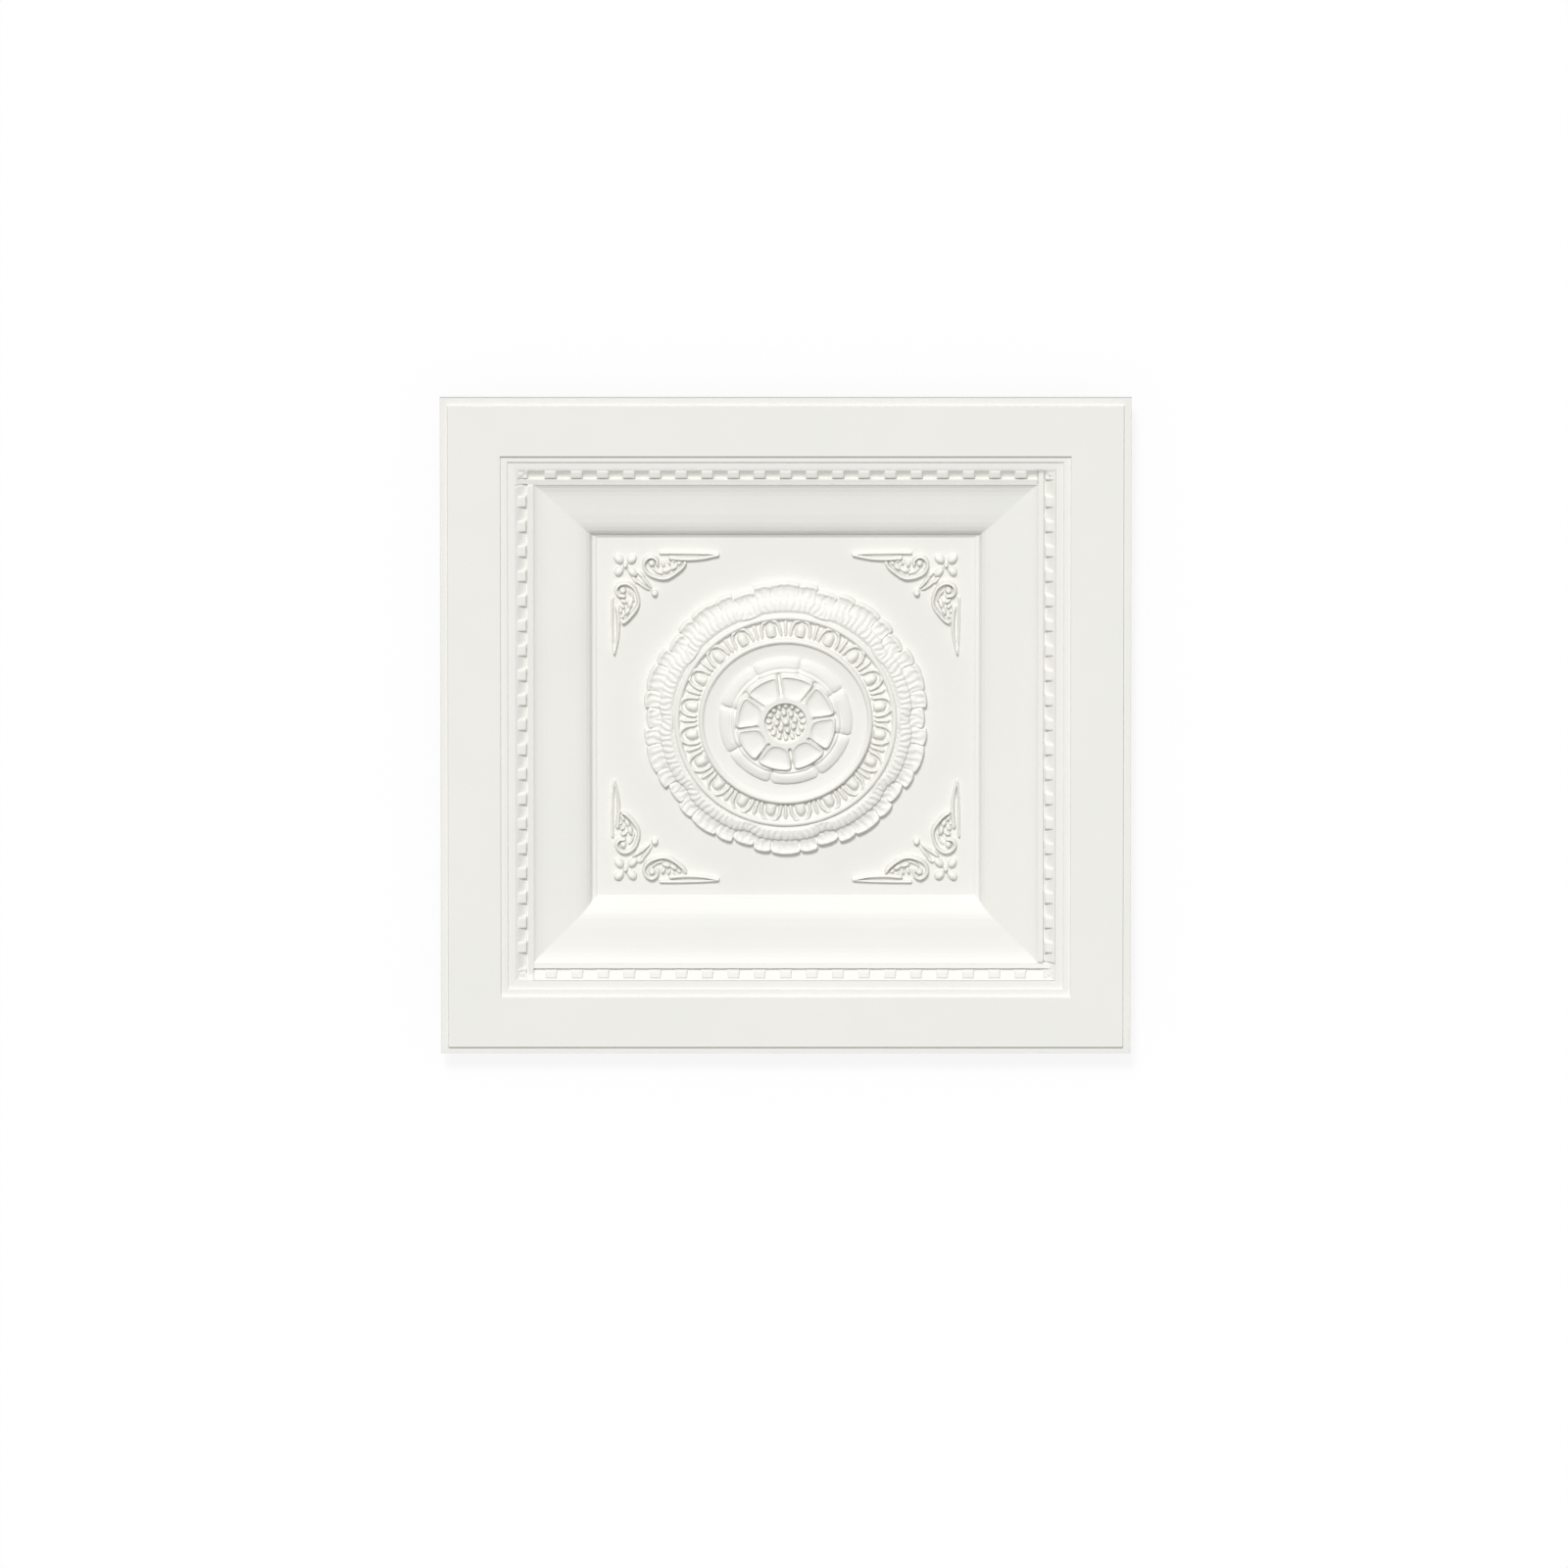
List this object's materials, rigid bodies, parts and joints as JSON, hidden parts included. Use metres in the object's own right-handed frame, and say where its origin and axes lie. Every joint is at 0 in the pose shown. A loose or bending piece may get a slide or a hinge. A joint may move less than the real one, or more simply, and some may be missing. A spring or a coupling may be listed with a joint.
{
  "type": "polystyrene ceiling tile",
  "caption": "Square coffered ceiling tile of moulded polystyrene foam with a dentil course, an ogee, a central rosette and scroll ornaments in the corners of its panel.",
  "frame": {"origin": "middle of the flat back of the sunk panel, which the tile lies on", "axes": "+Z from the back to the decorated face, +X and +Y along the tile's edges"},
  "size_m": [0.595, 0.595, 0.035],
  "materials": {
    "polystyrene_foam": "matt moulded foam skin, warm white"
  },
  "bodies": {
    "root": {"ceiling_tile": "polystyrene_foam"}
  },
  "joints": []
}
